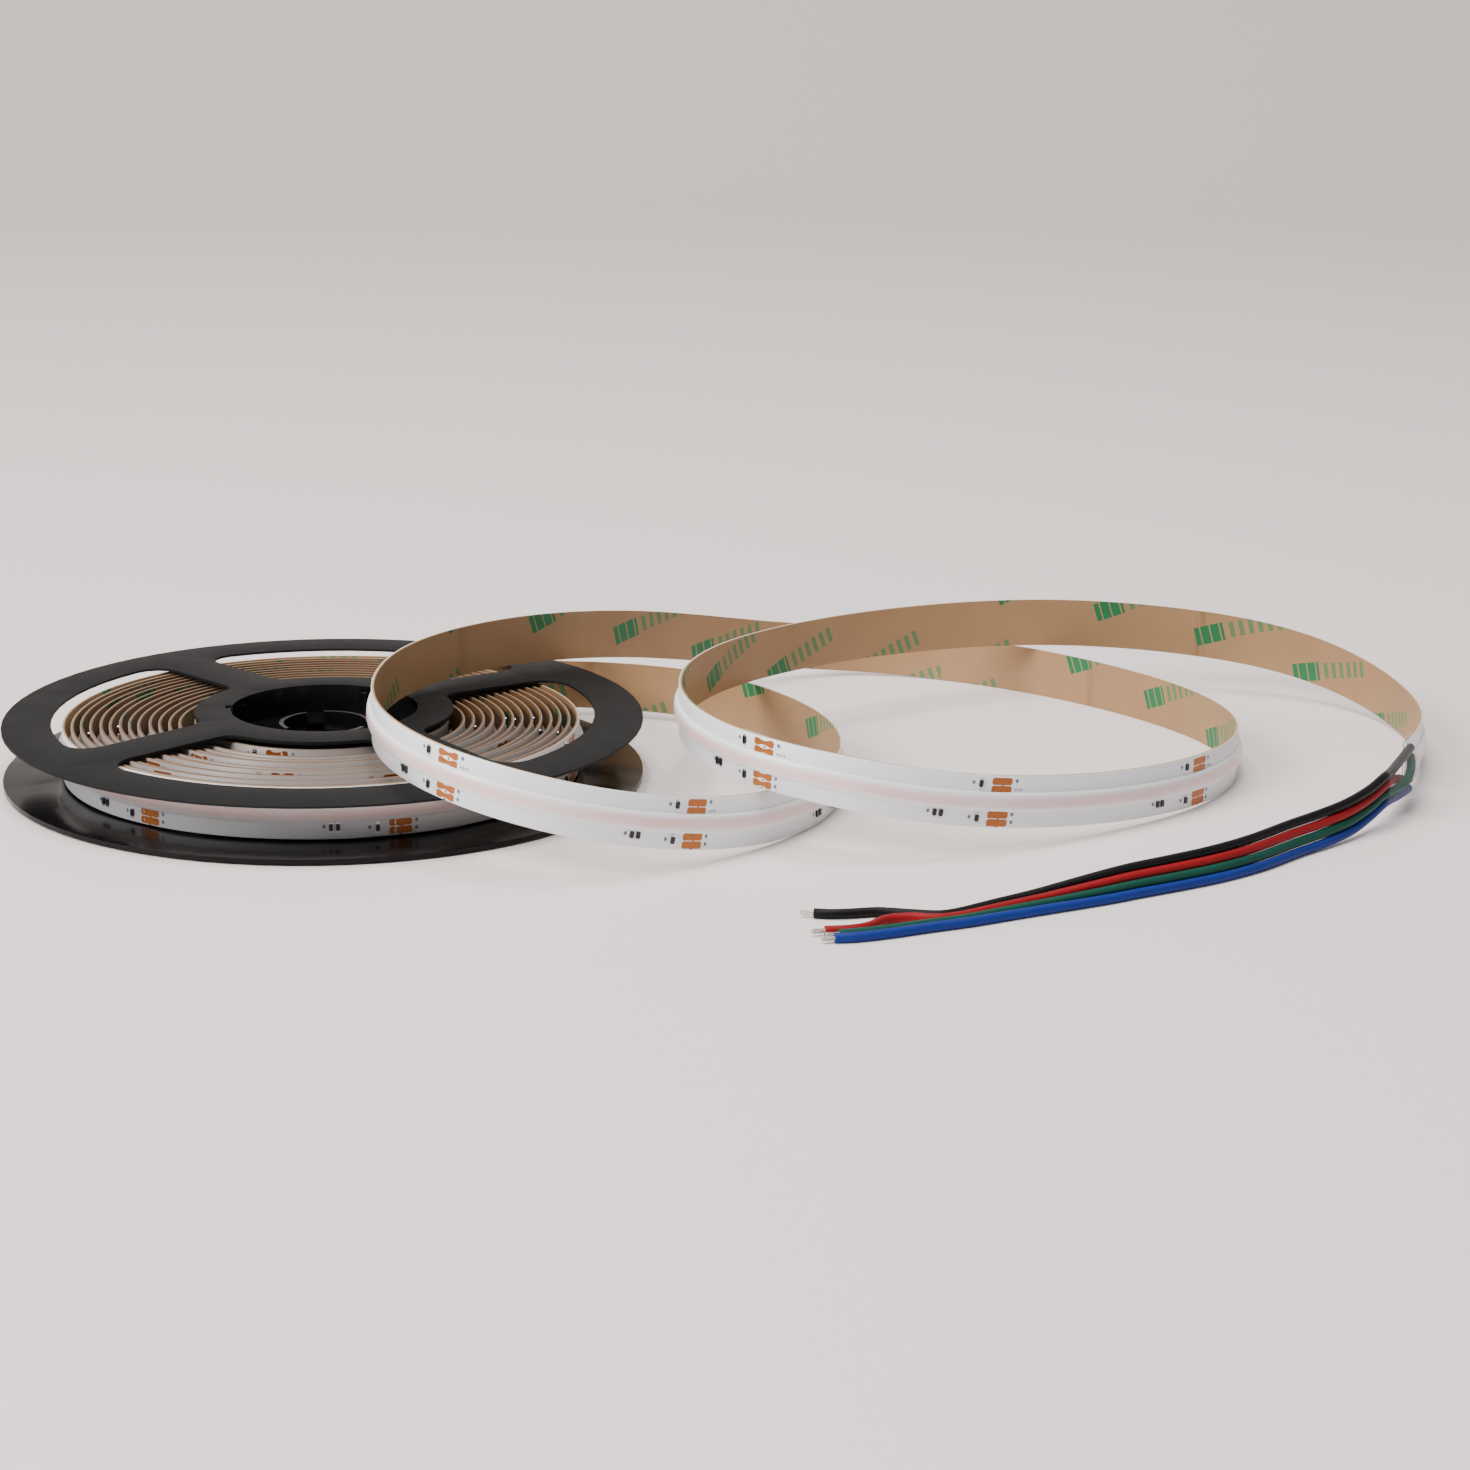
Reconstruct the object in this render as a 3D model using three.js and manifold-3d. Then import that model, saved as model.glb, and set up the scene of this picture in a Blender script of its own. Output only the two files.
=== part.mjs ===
// LED strip light on a reel. The two-flange reel lies flat with the strip wound on edge in it, and the
// strip's free end stands on edge in two loops, ending in a clear sleeve with four bare-ended wires.
// Millimetres, +Z up. The reel's axis is the Z axis and the floor is z = 0.

import * as THREE from "three";
import { mergeVertices } from "three/addons/utils/BufferGeometryUtils.js";
import ManifoldModule from "manifold-3d";

const solids = await ManifoldModule();
solids.setup();

// Reel. The lower half is the upper half turned over, with windows that stop under the coil.
const reelRadius = 63;
const reelHeight = 13.2;
const flangeThickness = 1.3;
const windowOuterRadius = 53.4;
const lowerWindowOuterRadius = 50;
const windowInnerRadius = 25.5;
const windowOuterCorner = 5;
const windowInnerCorner = 3.5;
const spokeWidth = 10.3;
const spokeCount = 4;
const firstSpokeAngle = 40;
const hubOpeningRadius = 18.4;
const hubWebDepth = 5.3;
const hubWebThickness = 1;
const collarRadius = 9;
const collarRise = 2.9;
const spindleRadius = 8.1;
const keySlotCount = 3;
const keySlotWidth = 3.4;
const keySlotReach = 10.8;
const firstKeySlotAngle = 109;
const hubRibCount = 4;
const hubRibWidth = 1.2;
const hubRibDepth = 0.8;
const firstHubRibAngle = 70;
const rimNotchWidth = 2.4;
const rimNotchDepth = 1.2;
const rimNotchAngle = 180;
const reelSegments = 72;

// Strip. Offsets run outward from the board's inner face.
const stripWidth = 10;
const boardThickness = 0.35;
const linerThickness = 0.2;
const bondLine = 0.02;
const lightLineWidth = 3.6;
const lightLineTopWidth = 2.6;
const lightLineHeight = 1.15;
const clearance = 0.3;

// Wound turns. The exit is where the outer turn leaves the reel.
const woundTurns = 14;
const turnPitch = 2;
const stationsPerTurn = 24;
const exitRadius = 51.5;
const exitAngle = 96;

// The strip is made of half-metre boards. Two of them meet here, in guide spacings from the exit.
const splicePlace = 18;

// Guide points of the free strip's lower edge, which is the uniform cubic B-spline that they pull
// along. Three more points at the start follow from the exit. The lower edge lies on the floor, on
// the upper flange and on the upper edges of the bands that it crosses.
const guideSpacing = 28;
const stationsPerGuide = 4;
const freeStripGuide = [
  // out of the reel and around the right end of the first loop
  [50.5, 49.5, 1.6], [74.5, 42.5, 1.7], [93, 25.5, 0.6], [103, 0.5, 0.5], [101.5, -27, 0.1],
  // along its front and up on to the reel
  [85.5, -52, 0], [58, -71, 6.4], [33.5, -71, 12.9], [16.5, -50.5, 14.8], [10, -19, 13.7],
  // back over the reel and down to the floor
  [13.5, 11.5, 14.3], [34.5, 33.5, 15.2], [60.5, 55, 11.7], [85, 77.5, 3.6], [109, 88, 0.4],
  // around the right end of the second loop
  [134, 79.5, 0], [158, 60.5, 0], [177, 36, 0], [184.5, 9.5, 0], [175, -16.5, 0.2],
  // along its front, up on to the first loop and around the left end
  [150, -38.5, 1.6], [120, -55, 5.8], [94, -57, 11.5], [76, -39, 12], [68, -7.5, 11.6],
  // along the back, over the second loop and down
  [75, 22, 12], [97.5, 45.5, 12.2], [123.5, 61.5, 12], [150.5, 71, 11.2], [177, 73.5, 8.8],
  // the last bend and the sleeve
  [198.5, 69.5, 6.2], [213.5, 58, 2.6], [220.5, 40.5, 0.2], [221.5, 19.5, 0], [215.5, -3.5, 1.2],
  [203.5, -27.5, 1], [193, -53, 0.8],
];

// Sleeve. It covers the board's end and the first stretch of the wires.
const sleeveBeforeEnd = 6;
const sleeveAfterEnd = 21;
const sleeveWall = 0.3;
const sleeveCorner = 0.9;
const sleeveStart = { inner: -0.7, outer: 1.9, lower: -0.5, upper: 10.6 };
const sleeveLip = { inner: 0.1, outer: 2.5, lower: 1.4, upper: 9.2 };
const sleeveBulge = 2.5;
const sleeveStations = 12;

// Wires. Inside the sleeve each runs past points of [distance after the board's end, offset outward,
// height over the strip's lower edge].
const wireRadius = 0.8;
const wirePitch = 1.8;
const wireSteps = 44;
const sleevedRuns = {
  blue: [[0.4, 1.3, 0.95], [10, 1.3, 1.6], [16, 1.3, 2.3]],
  green: [[0.4, 1.4, 7.4], [4, 2.4, 6.9], [8, 3.2, 6], [12, 3.2, 5], [16, 2.3, 4.45]],
  red: [[0.4, 1.3, 2.75], [4, 1.3, 3.4], [9, 1.3, 4.9], [13, 1.3, 5.7], [16, 1.3, 6]],
  black: [[0.4, 1.3, 9.2], [8, 1.3, 8.5], [16, 1.3, 7.85]],
};
const lipOffset = 1.3;
const lipHeight = 2.6;

// Outside, the bonded cable's lowest wire passes points of [x, y, z, lean of the stack in degrees].
const cableRoute = [
  [201.8, -33, 2.6, 88], [197.2, -39.4, 1.6, 78], [191.6, -45.4, 1.1, 68], [186.3, -50.6, 0.9, 62],
  [177.5, -60.4, 0.9, 54], [169.3, -67.4, 0.9, 49], [161.5, -72.6, 0.9, 45], [153.9, -77.2, 0.9, 40],
  [148.2, -80.8, 0.9, 32], [142.5, -84, 0.9, 22], [136.9, -87, 0.9, 13], [129.6, -91, 0.9, 6],
  [122.4, -95, 0.9, 0],
];
const freeEnds = {
  blue: [[115.3, -98.3, 0.9], [108.2, -101.8, 0.9], [102, -104.2, 0.9], [98.6, -104.8, 0.9]],
  green: [[115, -96.4, 0.9], [107.8, -99.8, 0.9], [101.8, -102, 0.9], [99.4, -102.6, 0.9]],
  red: [[116.8, -93.3, 0.9], [112, -92.8, 0.9], [107.8, -94.2, 0.9], [104.6, -98.2, 0.9],
    [101.6, -99.9, 0.9], [97, -100.8, 0.9]],
  black: [[117, -91.3, 0.9], [112, -90.7, 0.9], [106.5, -89.8, 0.9], [101.5, -90.8, 0.9],
    [98, -91.2, 0.9], [95.3, -90.8, 0.9]],
};
const wireOrder = ["blue", "green", "red", "black"];
const tinnedRadius = 0.45;
const tinnedLength = 2.6;
const solderSize = [1.1, 0.45, 0.6];
const solderBeforeEnd = 1.2;
const solderHeights = { blue: 0.95, green: 7.5, red: 2.75, black: 9.1 };

function radians(degrees) {
  return (degrees * Math.PI) / 180;
}

function polar(radius, degrees) {
  const angle = radians(degrees);
  return [radius * Math.cos(angle), radius * Math.sin(angle)];
}

function material(colour, roughness, metalness = 0) {
  return new THREE.MeshStandardMaterial({ color: colour, roughness, metalness });
}

function asSolid(geometry) {
  const plain = new THREE.BufferGeometry();
  plain.setAttribute("position", geometry.getAttribute("position"));
  plain.setIndex(geometry.getIndex());
  const merged = mergeVertices(plain, 1e-4);
  const mesh = new solids.Mesh({
    numProp: 3,
    vertProperties: Float32Array.from(merged.getAttribute("position").array),
    triVerts: Uint32Array.from(merged.getIndex().array),
  });
  return new solids.Manifold(mesh);
}

function asGeometry(solid) {
  const mesh = solid.getMesh();
  const geometry = new THREE.BufferGeometry();
  geometry.setAttribute("position", new THREE.BufferAttribute(mesh.vertProperties, 3));
  geometry.setIndex(new THREE.BufferAttribute(mesh.triVerts, 1));
  return geometry;
}

function arc(centre, radius, from, to, steps) {
  const points = [];
  for (let i = 0; i <= steps; i += 1) {
    const [x, y] = polar(radius, from + ((to - from) * i) / steps);
    points.push(new THREE.Vector2(centre[0] + x, centre[1] + y));
  }
  return points;
}

// One flange window between two spokes, centred on +X. Its sides run parallel to the spokes.
function windowOutline(outerRadius) {
  const halfAngle = 180 / spokeCount;
  const corner = (reach, radius) => {
    const side = spokeWidth / 2 + radius;
    const along = Math.sqrt(reach * reach - side * side);
    const [x, y] = polar(1, halfAngle);
    return [along * x + side * y, along * y - side * x];
  };
  const outer = corner(outerRadius - windowOuterCorner, windowOuterCorner);
  const inner = corner(windowInnerRadius + windowInnerCorner, windowInnerCorner);
  const outerAngle = (Math.atan2(outer[1], outer[0]) * 180) / Math.PI;
  const innerAngle = (Math.atan2(inner[1], inner[0]) * 180) / Math.PI;
  const sideAngle = halfAngle + 90;
  const half = [
    ...arc([0, 0], outerRadius, 0, outerAngle, 6),
    ...arc(outer, windowOuterCorner, outerAngle, sideAngle, 4).slice(1),
    ...arc(inner, windowInnerCorner, sideAngle, innerAngle + 180, 3),
    ...arc([0, 0], windowInnerRadius, innerAngle, 0, 3).slice(1),
  ];
  const mirrored = half.slice(1, -1).reverse().map((point) => new THREE.Vector2(point.x, -point.y));
  return new THREE.Shape([...half, ...mirrored]);
}

// One half, as the upper one lies: flange, hub sleeve down to mid-height, and a web with the spindle
// collar.
function reelHalf(windowReach) {
  const top = reelHeight;
  const flangeBottom = top - flangeThickness;
  const sleeveRadius = exitRadius - woundTurns * turnPitch - linerThickness - bondLine - 2 * clearance;
  const sleeveBottom = (reelHeight + clearance) / 2;
  const webTop = top - hubWebDepth;
  const webBottom = webTop - hubWebThickness;
  const profile = [
    [reelRadius, flangeBottom],
    [reelRadius, top],
    [hubOpeningRadius, top],
    [hubOpeningRadius, webTop],
    [collarRadius, webTop],
    [collarRadius, webTop + collarRise],
    [spindleRadius, webTop + collarRise],
    [spindleRadius, webBottom],
    [hubOpeningRadius, webBottom],
    [hubOpeningRadius, sleeveBottom],
    [sleeveRadius, sleeveBottom],
    [sleeveRadius, flangeBottom],
    [reelRadius, flangeBottom],
  ].map(([radius, height]) => new THREE.Vector2(radius, height));
  let half = asSolid(new THREE.LatheGeometry(profile, reelSegments).rotateX(Math.PI / 2));

  const depth = flangeThickness + 2;
  const windowCut = new THREE.ExtrudeGeometry(windowOutline(windowReach), { depth, bevelEnabled: false });
  for (let i = 0; i < spokeCount; i += 1) {
    const turned = windowCut.clone();
    turned.rotateZ(radians(firstSpokeAngle + ((i + 0.5) * 360) / spokeCount));
    turned.translate(0, 0, flangeBottom - 1);
    half = half.subtract(asSolid(turned));
  }
  for (let i = 0; i < keySlotCount; i += 1) {
    const reach = keySlotReach - spindleRadius / 2;
    const slot = new THREE.BoxGeometry(reach, keySlotWidth, hubWebThickness + collarRise + 2);
    slot.translate(keySlotReach - reach / 2, 0, (webBottom + webTop + collarRise) / 2);
    slot.rotateZ(radians(firstKeySlotAngle + (i * 360) / keySlotCount));
    half = half.subtract(asSolid(slot));
  }
  const notch = new THREE.BoxGeometry(2 * rimNotchDepth, rimNotchWidth, 2 * flangeThickness);
  notch.translate(hubOpeningRadius, 0, top);
  notch.rotateZ(radians(rimNotchAngle));
  half = half.subtract(asSolid(notch));
  for (let i = 0; i < hubRibCount; i += 1) {
    const ribHeight = hubWebDepth - flangeThickness;
    const rib = new THREE.BoxGeometry(2 * hubRibDepth, hubRibWidth, ribHeight + hubWebThickness / 2);
    rib.translate(hubOpeningRadius, 0, webTop + (ribHeight - hubWebThickness / 2) / 2);
    rib.rotateZ(radians(firstHubRibAngle + (i * 360) / hubRibCount));
    half = half.add(asSolid(rib));
  }
  return half;
}

function turnedOver(solid) {
  return solid.rotate([180, 0, 0]).translate([0, 0, reelHeight]);
}

// The strip's stations: a lower-edge point, the outward normal and the upright height of the section.
function woundStations() {
  const stations = [];
  const steps = woundTurns * stationsPerTurn;
  const bottom = flangeThickness + clearance;
  for (let i = 0; i < steps; i += 1) {
    const turnsLeft = (steps - i) / stationsPerTurn;
    const radius = exitRadius - turnPitch * turnsLeft;
    const normal = polar(1, exitAngle + 360 * turnsLeft);
    stations.push({ point: [radius * normal[0], radius * normal[1], bottom], normal, height: stripWidth });
  }
  return stations;
}

function guidePoints() {
  const outward = polar(1, exitAngle);
  const ahead = [outward[1], -outward[0]];
  const bottom = flangeThickness + clearance;
  const bend = (guideSpacing * guideSpacing) / exitRadius;
  const fromExit = (steps) => {
    const rise = bend / 6 - (bend * steps * steps) / 2;
    const along = steps * guideSpacing;
    return [
      (exitRadius + rise) * outward[0] + along * ahead[0],
      (exitRadius + rise) * outward[1] + along * ahead[1],
      bottom,
    ];
  };
  return [fromExit(-1), fromExit(0), fromExit(1), ...freeStripGuide];
}

const guide = guidePoints();
const routeEnd = guide.length - 3;
const boardEnd = routeEnd - sleeveAfterEnd / guideSpacing;

// The station at a place counted in guide spacings from the exit.
function freeStation(place) {
  const span = Math.min(Math.floor(place), routeEnd - 1);
  const t = place - span;
  const u = 1 - t;
  const weights = [u ** 3, 3 * t ** 3 - 6 * t * t + 4, 3 * u ** 3 - 6 * u * u + 4, t ** 3];
  const slopes = [-u * u, 3 * t * t - 4 * t, -3 * u * u + 4 * u, t * t];
  const mix = (factors, axis) => factors.reduce((sum, f, k) => sum + f * guide[span + k][axis], 0);
  const point = [0, 1, 2].map((axis) => mix(weights, axis) / 6);
  const [dx, dy, dz] = [0, 1, 2].map((axis) => mix(slopes, axis) / 2);
  const run = Math.hypot(dx, dy);
  return { point, normal: [-dy / run, dx / run], height: stripWidth * Math.hypot(1, dz / run) };
}

function freeStations(from, to, steps) {
  const stations = [];
  for (let i = 0; i <= steps; i += 1) {
    stations.push(freeStation(from + ((to - from) * i) / steps));
  }
  return stations;
}

// A body swept along stations. A section is a loop of [offset outward, share of the height], anticlockwise
// seen against the strip's run.
function sweep(stations, sectionAt) {
  const positions = [];
  const indices = [];
  const count = sectionAt(0).length;
  stations.forEach(({ point, normal, height }, i) => {
    for (const [offset, share] of sectionAt(i)) {
      positions.push(point[0] + offset * normal[0], point[1] + offset * normal[1], point[2] + share * height);
    }
  });
  for (let i = 0; i + 1 < stations.length; i += 1) {
    for (let j = 0; j < count; j += 1) {
      const a = i * count + j;
      const b = i * count + ((j + 1) % count);
      indices.push(a, b, b + count, a, b + count, a + count);
    }
  }
  const last = (stations.length - 1) * count;
  for (let j = 1; j + 1 < count; j += 1) {
    indices.push(0, j + 1, j);
    indices.push(last, last + j, last + j + 1);
  }
  const geometry = new THREE.BufferGeometry();
  geometry.setAttribute("position", new THREE.Float32BufferAttribute(positions, 3));
  geometry.setIndex(indices);
  return geometry;
}

function block(inner, outer, lower, upper) {
  return [[inner, lower], [outer, lower], [outer, upper], [inner, upper]];
}

// The sleeve's section: a box with rounded corners, in millimetres outward and upward.
function roundedBox(inner, outer, lower, upper, corner) {
  const left = inner + corner;
  const right = outer - corner;
  const bottom = lower + corner;
  const top = upper - corner;
  const points = [
    ...arc([right, bottom], corner, -90, 0, 2),
    ...arc([right, top], corner, 0, 90, 2),
    ...arc([left, top], corner, 90, 180, 2),
    ...arc([left, bottom], corner, 180, 270, 2),
  ];
  return points.map((point) => [point.x, point.y / stripWidth]);
}

function blend(from, to, share) {
  return from + (to - from) * share;
}

// The sleeve wraps the board's end, bulges over the crossing wires and closes on the stack at its lip.
function sleeveBounds(i) {
  const share = i / sleeveStations;
  const bulge = Math.sin(Math.PI * share);
  const taper = share * share;
  return {
    inner: blend(sleeveStart.inner, sleeveLip.inner, taper),
    outer: blend(sleeveStart.outer, sleeveLip.outer, share) + sleeveBulge * bulge,
    lower: blend(sleeveStart.lower, sleeveLip.lower, taper),
    upper: blend(sleeveStart.upper, sleeveLip.upper, taper),
  };
}

function shrinkSleeve() {
  const from = boardEnd - sleeveBeforeEnd / guideSpacing;
  const stations = freeStations(from, routeEnd, sleeveStations);
  const section = (i, wall) => {
    const { inner, outer, lower, upper } = sleeveBounds(i);
    return roundedBox(inner - wall, outer + wall, lower - wall, upper + wall, sleeveCorner + wall);
  };
  const outside = sweep(stations, (i) => section(i, sleeveWall));
  const inside = sweep(stations, (i) => section(i, 0));
  return tubeBetween(outside, inside, section(0, 0).length);
}

// Two sweeps with the same layout become one open-ended tube.
function tubeBetween(outside, inside, count) {
  const outer = outside.getAttribute("position");
  const positions = [...outer.array, ...inside.getAttribute("position").array];
  const sides = 6 * count * (outer.count / count - 1);
  const indices = [...outside.getIndex().array].slice(0, sides);
  for (const [a, b, c] of trios([...inside.getIndex().array].slice(0, sides))) {
    indices.push(a + outer.count, c + outer.count, b + outer.count);
  }
  const last = outer.count - count;
  for (let j = 0; j < count; j += 1) {
    const next = (j + 1) % count;
    indices.push(j, j + outer.count, next + outer.count, j, next + outer.count, next);
    indices.push(last + j, last + next, last + next + outer.count);
    indices.push(last + j, last + next + outer.count, last + j + outer.count);
  }
  const geometry = new THREE.BufferGeometry();
  geometry.setAttribute("position", new THREE.Float32BufferAttribute(positions, 3));
  geometry.setIndex(indices);
  return geometry;
}

function trios(list) {
  const found = [];
  for (let i = 0; i < list.length; i += 3) {
    found.push(list.slice(i, i + 3));
  }
  return found;
}

// A point given by its distance after the board's end, its offset outward and its height.
function besideStrip([distance, offset, height]) {
  const { point, normal } = freeStation(boardEnd + distance / guideSpacing);
  return new THREE.Vector3(point[0] + offset * normal[0], point[1] + offset * normal[1], point[2] + height);
}

function cablePoint(i, rank) {
  const [x, y, z, lean] = cableRoute[i];
  const before = cableRoute[Math.max(i - 1, 0)];
  const after = cableRoute[Math.min(i + 1, cableRoute.length - 1)];
  const run = Math.hypot(after[0] - before[0], after[1] - before[1]);
  const back = [(after[1] - before[1]) / run, (before[0] - after[0]) / run];
  const [across, up] = polar(rank * wirePitch, lean);
  return new THREE.Vector3(x + across * back[0], y + across * back[1], z + up);
}

function wirePoints(name) {
  const rank = wireOrder.indexOf(name);
  return [
    ...sleevedRuns[name].map(besideStrip),
    besideStrip([sleeveAfterEnd - 0.01, lipOffset, lipHeight + rank * wirePitch]),
    ...cableRoute.map((_, i) => cablePoint(i, rank)),
    ...freeEnds[name].map((point) => new THREE.Vector3(...point)),
  ];
}

function wire(points) {
  const path = new THREE.CatmullRomCurve3(points, false, "centripetal");
  const ring = arc([0, 0], wireRadius, 0, 315, 7);
  return new THREE.ExtrudeGeometry(new THREE.Shape(ring), {
    steps: wireSteps,
    extrudePath: path,
    bevelEnabled: false,
  });
}

function tinnedEnd(points) {
  const tip = points[points.length - 1];
  const ahead = tip.clone().sub(points[points.length - 2]).normalize();
  const rod = new THREE.CylinderGeometry(tinnedRadius, tinnedRadius, tinnedLength, 8);
  rod.applyQuaternion(new THREE.Quaternion().setFromUnitVectors(new THREE.Vector3(0, 1, 0), ahead));
  const middle = tip.clone().addScaledVector(ahead, clearance + tinnedLength / 2);
  return rod.translate(middle.x, middle.y, middle.z);
}

function solderJoint(height) {
  const offset = boardThickness + solderSize[1] + 2 * bondLine;
  const middle = besideStrip([-solderBeforeEnd, offset, height]);
  const { normal } = freeStation(boardEnd - solderBeforeEnd / guideSpacing);
  const blob = new THREE.SphereGeometry(1, 10, 8).scale(...solderSize);
  blob.rotateZ(Math.atan2(normal[1], normal[0]) - Math.PI / 2);
  return blob.translate(middle.x, middle.y, middle.z);
}

// The boards and the last station of each. They meet at the exit and at the splice.
function boardSections() {
  const exit = woundTurns * stationsPerTurn;
  return [
    ["board_wound", exit],
    ["board_first_loop", exit + splicePlace * stationsPerGuide],
    ["board_second_loop", exit + Math.round(boardEnd * stationsPerGuide)],
  ];
}

// The same stations, with the first moved along the strip by a gap.
function startingLater(stations, gap) {
  const [first, second] = stations;
  const run = Math.hypot(second.point[0] - first.point[0], second.point[1] - first.point[1]);
  const mix = (from, to) => from.map((value, axis) => blend(value, to[axis], gap / run));
  const moved = {
    point: mix(first.point, second.point),
    normal: mix(first.normal, second.normal),
    height: blend(first.height, second.height, gap / run),
  };
  return [moved, ...stations.slice(1)];
}

const group = new THREE.Group();
group.name = "led_strip_light_reel";

function add(name, geometry, look) {
  const mesh = new THREE.Mesh(geometry, look);
  mesh.name = name;
  group.add(mesh);
}

add("upper_flange", asGeometry(reelHalf(windowOuterRadius)), material("#3a3b3b", 0.55));
add("lower_flange", asGeometry(turnedOver(reelHalf(lowerWindowOuterRadius))), material("#1c1b1a", 0.3));

const stripStations = [
  ...woundStations(),
  ...freeStations(0, boardEnd, Math.round(boardEnd * stationsPerGuide)),
];
const litStations = stripStations.slice(0, -1);
const lightLineFoot = boardThickness + bondLine;
const edgeShare = (width) => (1 - width / stripWidth) / 2;
const lightLineSection = [
  [lightLineFoot, edgeShare(lightLineWidth)],
  [lightLineFoot + lightLineHeight, edgeShare(lightLineTopWidth)],
  [lightLineFoot + lightLineHeight, 1 - edgeShare(lightLineTopWidth)],
  [lightLineFoot, 1 - edgeShare(lightLineWidth)],
];
const linerSection = block(-bondLine - linerThickness, -bondLine, 0, 1);
let start = 0;
for (const [name, end] of boardSections()) {
  const stations = startingLater(stripStations.slice(start, end + 1), clearance);
  add(name, sweep(stations, () => block(0, boardThickness, 0, 1)), material("#dcdde0", 0.6));
  start = end;
}
add("light_line", sweep(litStations, () => lightLineSection), material("#dcc8c8", 0.4));
add("backing_liner", sweep(stripStations, () => linerSection), material("#a98463", 0.8));
add("shrink_sleeve", shrinkSleeve(), material("#e8e8ea", 0.2));

const wireColours = { blue: "#2a3f8f", green: "#1f4a3a", red: "#a5242b", black: "#1a1a1b" };
for (const name of wireOrder) {
  const points = wirePoints(name);
  add(`wire_${name}`, wire(points), material(wireColours[name], 0.4));
  add(`tinned_end_${name}`, tinnedEnd(points), material("#b9b6b0", 0.35, 1));
  add(`solder_${name}`, solderJoint(solderHeights[name]), material("#c9c8c4", 0.3, 1));
}

// The reel and the strip together are centred on the origin. Wires don't count towards it.
const extent = new THREE.Box3();
for (const mesh of group.children.filter((child) => !/^(wire|tinned)/.test(child.name))) {
  extent.expandByObject(mesh);
}
const middle = extent.getCenter(new THREE.Vector3());
for (const mesh of group.children) {
  mesh.geometry.translate(-middle.x, -middle.y, 0);
}

export default group;
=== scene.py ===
import math

import bmesh
import bpy
import numpy as np
from mathutils import Matrix, Vector


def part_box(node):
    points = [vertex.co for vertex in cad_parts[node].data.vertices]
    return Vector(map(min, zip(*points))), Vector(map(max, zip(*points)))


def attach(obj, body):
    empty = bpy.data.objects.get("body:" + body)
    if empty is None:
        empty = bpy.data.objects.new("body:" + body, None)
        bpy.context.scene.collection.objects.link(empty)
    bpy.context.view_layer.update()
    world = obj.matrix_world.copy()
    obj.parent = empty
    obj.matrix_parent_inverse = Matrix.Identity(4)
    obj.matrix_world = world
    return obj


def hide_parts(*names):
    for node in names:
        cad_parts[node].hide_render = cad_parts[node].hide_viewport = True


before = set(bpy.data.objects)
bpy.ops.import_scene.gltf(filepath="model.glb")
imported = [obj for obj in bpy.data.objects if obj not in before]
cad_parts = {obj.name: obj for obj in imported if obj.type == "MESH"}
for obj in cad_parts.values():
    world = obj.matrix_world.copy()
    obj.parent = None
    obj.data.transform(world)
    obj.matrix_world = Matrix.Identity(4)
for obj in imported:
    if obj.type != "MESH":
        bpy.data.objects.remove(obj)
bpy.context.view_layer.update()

# LED strip light on a reel: a flat two-flange reel with the strip wound on edge, whose free end stands
# in two loops and ends in a clear sleeve with four wires. Lengths are in millimetres, in a frame whose
# Z axis is the reel's axis. The strip's distance is measured along it from where it leaves the reel.

MM = 0.001
reel_low, reel_high = (np.array(corner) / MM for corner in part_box("lower_flange"))
REEL_CENTRE = np.array([(reel_low[0] + reel_high[0]) / 2, (reel_low[1] + reel_high[1]) / 2, 0])

# Strip, with the light line's stop before the board's end and the gap where two boards meet
STRIP_WIDTH = 10
BOARD_THICKNESS = 0.35
LINER_THICKNESS = 0.2
BOARD_ROUNDING = 0.08
BOND_LINE = 0.02
LIGHT_LINE_WIDTH = 3.7
LIGHT_LINE_HEIGHT = 0.95
LIGHT_LINE_STOP = 6.5
SPLICE_GAP = 0.3

# The strip can be cut at an even pitch. Each free board starts at another place in that pattern, and
# the wound turns are given by the degrees round the reel's axis of one cut on each, outermost first.
# One cut of the second loop lies a little further along than its place in the pattern. No cut is drawn
# within the margins at the ends of a turn and of the board.
CUT_PITCH = 49.2
FIRST_LOOP_CUT = 4.6
SECOND_LOOP_CUT = 546.3
LATE_CUT = 644.7
LATE_CUT_SHIFT = 2.8
TURN_MARGIN = 8
END_MARGIN = 12
WOUND_CUT_ANGLES = [
    -123.6, -78, -123, -100, -131, -121.9, -95, -62, -140, -126.8, -113.7, -88, -73.7, -105,
]

# Wound turns, as in the reel's solids
WOUND_TURNS = 14
TURN_PITCH = 2
EXIT_RADIUS = 51.5
EXIT_ANGLE = 96
WOUND_BOTTOM = 1.6

# How far each wound turn has slipped outward and upward at the front, outermost turn first
FRONT_SHIFTS = [0, 0.42, 0.82, 1.22, 1.22, 1.62, 1.72, 2.12, 2.52, 2.12, 2.42, 2.5, 2.52, 0.32]
FRONT_LIFTS = [0, -0.2, 0.25, -0.2, 0.25, -0.2, 0.25, -0.2, -0.2, 0.25, -0.1, -0.2, -0.1, 0.25]

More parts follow.
